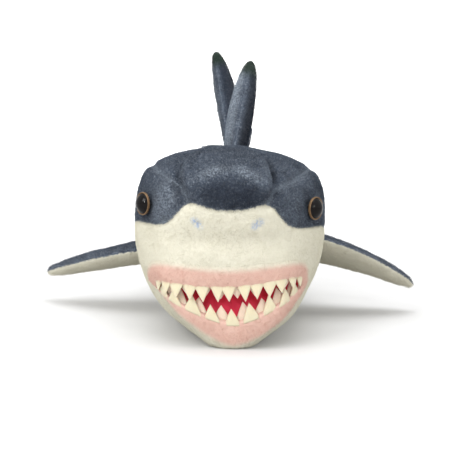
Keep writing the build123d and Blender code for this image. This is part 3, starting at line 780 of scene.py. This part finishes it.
def tooth(root, across, tall, outward, width, thickness):
    """A padded felt triangle: rings from the root to a rounded tip."""
    v = np.linspace(0, 1, TOOTH_RINGS)[:, None]
    angle = np.linspace(0, 2 * math.pi, TOOTH_SIDES, endpoint=False)[None, :]
    half = width / 2 * np.clip(1.04 - v, 0, 1) ** 0.95 * np.sqrt(1 - v**8)
    thick = thickness / 2 * np.sqrt(np.clip(1 - v**2.2, 0, 1)) * (0.75 + 0.25 * np.sin(v * math.pi))
    across_part = (half * np.cos(angle))[..., None] * across
    out_part = (thick * np.sin(angle))[..., None] * outward
    return root + v[..., None] * tall + across_part + out_part


def tooth_row(name, halves_index, count, width_share, height, inset, lean, seed, felt=FELT):
    """A row of teeth along the upper lip, index 0, or the lower one, index 1."""
    dense = even_points(lip_halves[halves_index], LIP_POINTS)
    last = LIP_POINTS - 1
    rng = np.random.default_rng(seed)
    sign = -1 if halves_index == 0 else 1
    pitch = np.linalg.norm(np.diff(dense, axis=0), axis=1).sum() * ROW_SHARE / count
    points, faces = [], []
    for i in range(count):
        place = ROW_START + ROW_SHARE * (i + 0.5 + rng.uniform(-0.1, 0.1)) / count
        k = int(place * last)
        across = unit(dense[min(k + TANGENT_STEP, last)] - dense[max(k - TANGENT_STEP, 0)])
        outward = unit(np.cross(across, np.array((0, 0, 1.0))))
        outward = outward if outward[1] < 0 else -outward
        middle = 1 - abs(2 * place - 1)
        share = CORNER_HEIGHT + (1 - CORNER_HEIGHT) * smooth(0, 0.5, middle)
        tall = height * share * rng.uniform(0.9, 1.1)
        up = unit(np.array((0, 0, sign)) + lean * outward + rng.uniform(-0.08, 0.08) * across)
        width = pitch * width_share * rng.uniform(0.92, 1.08)
        root = dense[k] - outward * inset - up * TOOTH_ROOT
        rings = tooth(root, across, up * (tall + TOOTH_ROOT), outward, width, TOOTH_THICKNESS)
        base = i * TOOTH_RINGS * TOOTH_SIDES
        faces += [[base + v for v in f] for f in grid_faces(TOOTH_RINGS, TOOTH_SIDES)]
        faces.append([base + v for v in range(TOOTH_SIDES)][::-1])
        points.append(rings.reshape(-1, 3))
    all_points = chin_warp(np.concatenate(points))
    behind = all_points.mean(0) + np.array((0, 60, 0))
    row = make_piece(f"{name}_felt", all_points, faces, felt, behind)
    if halves_index:
        with_jaw(row)
    else:
        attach(row, "trunk")
    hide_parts(name)


tooth_row("upper_teeth", 0, 13, 1.16, 10.5, 1.2, 0.10, 3)
tooth_row("upper_inner_teeth", 0, 10, 1.0, 8.5, 4.0, -0.1, 4, PINK_FELT_WITH_PAINTED_LIGHT)
tooth_row("lower_teeth", 1, 9, 0.93, 11.5, 1.4, 0.05, 5)
tooth_row("lower_inner_teeth", 1, 8, 1.0, 13.0, 4.4, -0.1, 6, PINK_FELT_WITH_PAINTED_LIGHT)


# ---- trunk and tail -----------------------------------------------------------------------------
BODY_SEAM_DEPTH, FLANK_SEAM_WIDTH, BACK_SEAM_WIDTH = 0.9, 2.2, 2.0
BODY_LUMP, BODY_LUMP_SIZE, BODY_SMALL_LUMP, BODY_SMALL_SIZE = 1.3, 52, 0.4, 14
BACK_Z = 100.0  # the back seam runs above this height
RING_STEP = 3.0
CAP_SHARES = (0.99, 0.96, 0.91, 0.84, 0.74, 0.60, 0.42, 0.22, 0.05)  # width left, ring by ring
CAP_LENGTH = 22.0
CAP_HEIGHT_SHARE = 0.45  # of its height that the tail keeps at its very end


def body_relief(p):
    """How far the body's skin stands out of, or dips into, its plain form."""
    back_seam = dome(p[..., 0], BACK_SEAM_WIDTH) * smooth(BACK_Z, BACK_Z + 30, p[..., 2])
    out = -BODY_SEAM_DEPTH * (dome(shade(p), FLANK_SEAM_WIDTH) + back_seam)
    out += BODY_LUMP * lumps(p, BODY_LUMP_SIZE, 1) + BODY_SMALL_LUMP * lumps(p, BODY_SMALL_SIZE, 2)
    return out * smooth(0, 10, p[..., 1] - NECK_Y) - pile_depth(p) - neck_groove(p)


def body_seams(p):
    """Distance to the nearest seam of the body."""
    back = np.where(p[..., 2] > BACK_Z, np.abs(p[..., 0]), FAR)
    return np.minimum(np.minimum(back, np.abs(shade(p))), p[..., 1] - NECK_Y)


def skin_tube(name, y_first, y_last, capped=False):
    """A tube of skin whose columns run on from the head's. A cap closes it to a wedge."""
    rows = int((y_last - y_first) / RING_STEP) + 1
    points = np.stack([columns_at(y) for y in np.linspace(y_first, y_last, rows)])
    points = rest_on_floor(points + skin_normal(points) * body_relief(points)[..., None])
    if capped:
        end = points[-1]
        centre = end.mean(0)
        for share in CAP_SHARES:
            height = CAP_HEIGHT_SHARE + (1 - CAP_HEIGHT_SHARE) * share
            shrunk = centre + (end - centre) * np.array((share, 1, height))
            shrunk[:, 1] += CAP_LENGTH * math.sqrt(1 - share**2)
            points = np.concatenate([points, shrunk[None]])
    middle = (0, (y_first + y_last) / 2, 95)
    tube = make_piece(name, points, grid_faces(len(points), 2 * LIP_COLUMNS), PLUSH_SKIN, middle)
    flat = points.reshape(-1, 3)
    paint(tube, shade=shade(flat), seam=body_seams(flat))
    return tube


body_skin = skin_tube("body_skin", NECK_Y, TAIL_SPLIT_Y)
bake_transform(body_skin)
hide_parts("left_back_panel", "right_back_panel", "belly_panel", "trunk_stuffing")
grow_pile(body_skin, BODY_DENSITY, LONG_PILE, 3)

tail_skin = skin_tube("tail_skin", TAIL_SPLIT_Y, TAIL_END_Y, capped=True)
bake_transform(tail_skin)
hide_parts("left_tail_panel", "right_tail_panel", "tail_belly_panel", "tail_stuffing")
grow_pile(tail_skin, BODY_DENSITY, LONG_PILE, 4)


# ---- fins ---------------------------------------------------------------------------------------
def wing_root(side, x, y, z, fall, pitch):
    """Origin, span and chord directions of a fin on a flank, that falls and is pitched up in front."""
    fall, pitch = math.radians(fall), math.radians(pitch)
    span = np.array((side * math.cos(fall), 0, -math.sin(fall)))
    above = np.array((side * math.sin(fall), 0, math.cos(fall)))
    chord = np.array((0, math.cos(pitch), 0)) - above * math.sin(pitch)
    return np.array((side * x, y, z)), span, unit(chord)


def upright_root(x, y, z, lean, turn=0.0):
    """Origin, span and chord directions of an upright fin, whose rear may be turned to the left."""
    lean, turn = math.radians(lean), math.radians(turn)
    span = np.array((math.sin(lean), 0, math.cos(lean)))
    chord = np.array((math.sin(turn), math.cos(turn), 0))
    return np.array((x, y, z)), span, unit(chord - span * (chord @ span))


FIN_ROWS, FIN_SIDES = 70, 56
LENS_POWER = 1.25  # above 1, a section is thinner towards its edges than an ellipse
TIP_RUN, TIP_PLACE = 3.0, 0.6  # how far the tip is past the last rib, and where along that rib
FIN_LUMP, FIN_LUMP_SIZE, FIN_SMALL_LUMP, FIN_SMALL_SIZE = 0.7, 22, 0.3, 8
TIP_FADE = 14.0  # length over which a tip turns dark
LEAST_EDGE = 3.0  # least half thickness that seam distances on a fin are scaled by
SEAM_OFFSET = 1.2  # keeps the pale line of a fin's seam narrow
PAINTED_SIDE_SHADE = 0.8  # painted shade on the face away from the light, where the other face gets painted light


def fin(name, root, ribs, droop, top_is_blue, body, replaced, bend=None, dark_tip=None, seed=1,
        painted_side_light=0.0):
    """A padded fin: lens-shaped sections along its span, closed at the tip, seamed along its edge.

    Each rib is span, leading edge, chord and thickness. A fin with a bend is baked in place, and any
    other is attached to its body.
    dark_tip is the span where the pile starts to darken, and the last argument how much painted light
    brightens the face towards the key light, the other face getting painted shade.
    """
    origin, span, chord = root
    across = np.cross(span, chord)
    across = across if across[2] > 0 or abs(across[2]) < 1e-6 else -across
    ribs = np.array(ribs, float)
    end = np.array([[ribs[-1, 0] + TIP_RUN, ribs[-1, 1] + ribs[-1, 2] * TIP_PLACE, 0.0, 0.0]])
    ribs = np.concatenate([ribs, end])
    share = np.linspace(0, 1, FIN_ROWS)
    s = ribs[0, 0] + (ribs[-1, 0] - ribs[0, 0]) * np.sin(share * math.pi / 2)
    lead = curve_through(s, ribs[:, 0], ribs[:, 1])
    width = np.sqrt(np.clip(curve_through(s, ribs[:, 0], ribs[:, 2] ** 2), 0, None))
    thick = np.sqrt(np.clip(curve_through(s, ribs[:, 0], ribs[:, 3] ** 2), 0, None))
    angle = np.linspace(0, 2 * math.pi, FIN_SIDES, endpoint=False)
    c, q = np.cos(angle), np.sin(angle)
    q = np.sign(q) * np.abs(q) ** LENS_POWER
    sag = droop * (s / ribs[-1, 0]) ** 2
    along = lead[:, None] + width[:, None] / 2 * (1 + c)
    up = sag[:, None] + thick[:, None] / 2 * q
    points = origin + s[:, None, None] * span + along[..., None] * chord + up[..., None] * across
    face = np.broadcast_to(q, along.shape)
    wrinkle = FIN_LUMP * lumps(points, FIN_LUMP_SIZE, seed) * np.abs(face)
    wrinkle += FIN_SMALL_LUMP * lumps(points, FIN_SMALL_SIZE, seed + 5)
    points = points + (wrinkle * np.sign(face + 1e-9))[..., None] * across
    faces = grid_faces(FIN_ROWS, FIN_SIDES)
    faces.append(list(range(FIN_SIDES))[::-1])
    piece = make_piece(name, points, faces, PLUSH_SKIN, points.reshape(-1, 3).mean(0))
    half = np.maximum(thick[:, None] / 2, LEAST_EDGE)
    edge_distance = np.broadcast_to(np.abs(q), along.shape) * half
    side_distance = edge_distance * np.sign(face + 1e-9)
    blue = side_distance if top_is_blue else np.full(along.shape, FAR)
    tip = np.zeros(along.shape)
    if dark_tip:
        tip = tip + smooth(dark_tip, dark_tip + TIP_FADE, s)[:, None]
    # Painted light on the face towards the key light on the left, painted shade on the other face.
    lit = -np.sign(across[0]) * face
    nap = painted_side_light * smooth(0.15, 0.9, lit) - PAINTED_SIDE_SHADE * smooth(0.0, 0.6, -lit) * (painted_side_light > 0)
    paint(piece, shade=blue, seam=edge_distance + SEAM_OFFSET, tip=tip, glint=nap)
    if bend:
        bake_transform(piece)
    else:
        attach(piece, body)
    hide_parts(*replaced)
    grow_pile(piece, FIN_DENSITY, FIN_PILE, 10 + seed)


# Ribs of the fins: span, leading edge, chord and thickness.
PECTORAL = ((0, 0, 84, 17), (16, 3, 82, 19), (42, 11, 72, 17.5), (70, 26, 55, 15), (93, 43, 37, 12),
            (107, 55, 22, 9), (113, 63, 11, 6.4))
DORSAL = ((0, 0, 90, 15), (16, 6, 82, 20), (38, 22, 64, 22), (60, 41, 45, 20.5), (77, 57, 29, 16.5),
          (87, 69, 17, 12), (92, 77, 8, 8))
TAIL_FIN = ((0, 36, 8, 6.4), (8, 29, 20, 9.5), (24, 19, 31, 13), (46, 8, 36, 16), (76, 0, 32, 18),
            (104, 4, 40, 19), (136, 18, 42, 21), (168, 35, 37, 22), (192, 48, 28, 18), (207, 57, 17, 13),
            (214, 62, 9, 8))
PELVIC = ((0, 0, 38, 5.5), (14, 7, 32, 5.5), (27, 17, 21, 5), (35, 27, 10, 4.6))
SECOND_DORSAL = ((0, 0, 28, 5.5), (13, 7, 22, 5.5), (23, 16, 13, 5), (28, 23, 6, 4.6))

PECTORAL_BEND = (0.068, 0.092)
DORSAL_BEND = ((0, 0, 0.146), (0, 0, 0.162))
DORSAL_DARK, TAIL_FIN_DARK = 74, 194  # spans where the tips start to darken
for name, side, z, pitch, droop in (("left", 1, 77.0, 17.0, -13.0), ("right", -1, 61.5, 8.0, -6.0)):
    bend = tuple((side * x, 0, 0) for x in PECTORAL_BEND)
    nodes = [f"{name}_pectoral_{part}" for part in ("top_panel", "bottom_panel", "stuffing")]
    fin(f"{name}_pectoral_fin", wing_root(side, 61.0, -66.0, z, 9.0, pitch), PECTORAL,
        droop, True, f"{name}_pectoral_fin", nodes, bend=bend, seed=2 + side)
    nodes = [f"{name}_pelvic_{part}" for part in ("top_panel", "bottom_panel")]
    fin(f"{name}_pelvic_fin", wing_root(side, 36.0, 50.0, 30.0, 30.0, 4.0), PELVIC, 0.0, True,
        "trunk", nodes, seed=6 + side)

fin("dorsal_fin", upright_root(-1.0, -16.0, 139.0, 8.5), DORSAL, 0.0, False, "dorsal_fin",
    ["dorsal_left_panel", "dorsal_right_panel", "dorsal_stuffing"], bend=DORSAL_BEND,
    dark_tip=DORSAL_DARK, seed=9, painted_side_light=1.7)
fin("tail_fin", upright_root(26.0, 253.5, 43.0, -20.0, 18.0), TAIL_FIN, 0.0, False, "tail_fin",
    ["tail_fin_left_panel", "tail_fin_right_panel", "tail_fin_stuffing"],
    dark_tip=TAIL_FIN_DARK, seed=10, painted_side_light=0.6)
fin("second_dorsal_fin", upright_root(8.0, 160.0, 137.0, 12.0), SECOND_DORSAL, 0.0, False, "tail",
    ["second_dorsal_left_panel", "second_dorsal_right_panel"], seed=11)

# ---- eyes: the CAD's own parts, refinished ------------------------------------------------------
EYE_GLASS, EYE_RIM, WASHER = eye_material(), rim_material(), washer_material()
for name in ("left", "right"):
    for node, finish in ((f"{name}_eye", EYE_GLASS), (f"{name}_eye_rim", EYE_RIM),
                         (f"{name}_eye_washer", WASHER)):
        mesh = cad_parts[node].data
        mesh.materials.clear()
        mesh.materials.append(finish)

# ---- floor, light and camera --------------------------------------------------------------------
FLOOR_HALF, FLOOR_FRONT, WALL_Y, WALL_TOP, COVE = 5.0, -4.0, 2.6, 5.0, 1.2
PAPER_DARK, PAPER_LIGHT, PAPER_BOUNCE = 0.74, 0.77, 0.55
FAR_PAPER = (0.7, 1.8)  # how far out the paper is lit to plain white
cove_turn = np.linspace(0, math.pi / 2, 16)
profile = [(FLOOR_FRONT, 0.0)]
profile += [(WALL_Y - COVE * (1 - math.sin(a)), COVE * (1 - math.cos(a))) for a in cove_turn]
profile.append((WALL_Y, WALL_TOP))
sweep_points = np.array([[(x, y, z) for x in (-FLOOR_HALF, FLOOR_HALF)] for y, z in profile])


def grey(value):
    """An opaque grey from 0 to 1."""
    return (value, value, value, 1)


backdrop_mesh = bpy.data.meshes.new("backdrop")
backdrop_faces = grid_faces(len(profile), 2, wrap=False)
backdrop_mesh.from_pydata(sweep_points.reshape(-1, 3).tolist(), [], backdrop_faces)
backdrop_mesh.polygons.foreach_set("use_smooth", [True] * len(backdrop_mesh.polygons))
backdrop = bpy.data.objects.new("backdrop", backdrop_mesh)
bpy.context.scene.collection.objects.link(backdrop)
paper = Shader("studio_paper")
grain = paper.noise(40, 3, 0.5)
seen = paper.node("ShaderNodeLightPath").outputs["Is Camera Ray"]
shown = paper.mix(grain, grey(PAPER_DARK), grey(PAPER_LIGHT))
reach = paper.node("ShaderNodeVectorMath", {0: paper.position}, operation="LENGTH").outputs["Value"]
backdrop_mesh.materials.append(paper.finish(
    Base_Color=paper.mix(seen, grey(PAPER_BOUNCE), shown), Roughness=0.95, Specular_IOR_Level=0.1,
    Emission_Color=grey(1.0),
    Emission_Strength=paper.math("MULTIPLY", seen, paper.step(FAR_PAPER[0], FAR_PAPER[1], reach)),
))

WORLD_STRENGTH = 0.96
world = bpy.data.worlds.new("studio")
world.use_nodes = True
sky = world.node_tree.nodes["Background"].inputs
sky["Color"].default_value = grey(1.0)
sky["Strength"].default_value = WORLD_STRENGTH
bpy.context.scene.world = world
bpy.context.scene.view_settings.view_transform = "Standard"


def softbox(name, place, aim, size, power):
    """A square lamp of a size in metres and a power in watts, turned to face a point."""
    light = bpy.data.lights.new(name, "AREA")
    light.size = size
    light.energy = power
    lamp = bpy.data.objects.new(name, light)
    lamp.location = place
    lamp.rotation_mode = "QUATERNION"
    lamp.rotation_quaternion = (Vector(aim) - Vector(place)).to_track_quat("-Z", "Y")
    bpy.context.scene.collection.objects.link(lamp)


softbox("top_light", (0.0, -0.15, 1.6), (0, 0, 0), 1.4, 13)
softbox("key_light", (-0.9, -1.2, 1.0), (0, -0.1, 0.08), 0.7, 9)
for name, side in (("left", 1), ("right", -1)):
    softbox(f"{name}_catch_light", (side * 0.62, -1.36, 0.55), (side * 0.07, -0.19, 0.11), 0.05, 3.0)
softbox("back_light", (0.0, 1.4, 1.8), (0, 2.6, 0.6), 2.0, 30)

LENS = 94.74
EYE_HEIGHT, SUBJECT_Y = 0.18, -0.22  # the camera's height, and the depth that it turns about
TURN, DIP, ROLL, DISTANCE = math.radians(1.0), math.radians(5.4), math.radians(1.5), 0.9
camera_data = bpy.data.cameras.new("camera")
camera_data.lens = LENS
camera_data.sensor_width = 36.0
camera = bpy.data.objects.new("camera", camera_data)
bpy.context.scene.collection.objects.link(camera)
right = Vector((math.cos(TURN), math.sin(TURN), 0))
ahead = Vector((-math.sin(TURN) * math.cos(DIP), math.cos(TURN) * math.cos(DIP), -math.sin(DIP)))
up = right.cross(ahead)
tilted_right = right * math.cos(ROLL) + up * math.sin(ROLL)
tilted_up = up * math.cos(ROLL) - right * math.sin(ROLL)
camera.matrix_world = Matrix((
    (tilted_right.x, tilted_up.x, -ahead.x, math.sin(TURN) * DISTANCE),
    (tilted_right.y, tilted_up.y, -ahead.y, SUBJECT_Y - math.cos(TURN) * DISTANCE),
    (tilted_right.z, tilted_up.z, -ahead.z, EYE_HEIGHT),
    (0, 0, 0, 1),
))
bpy.context.scene.camera = camera
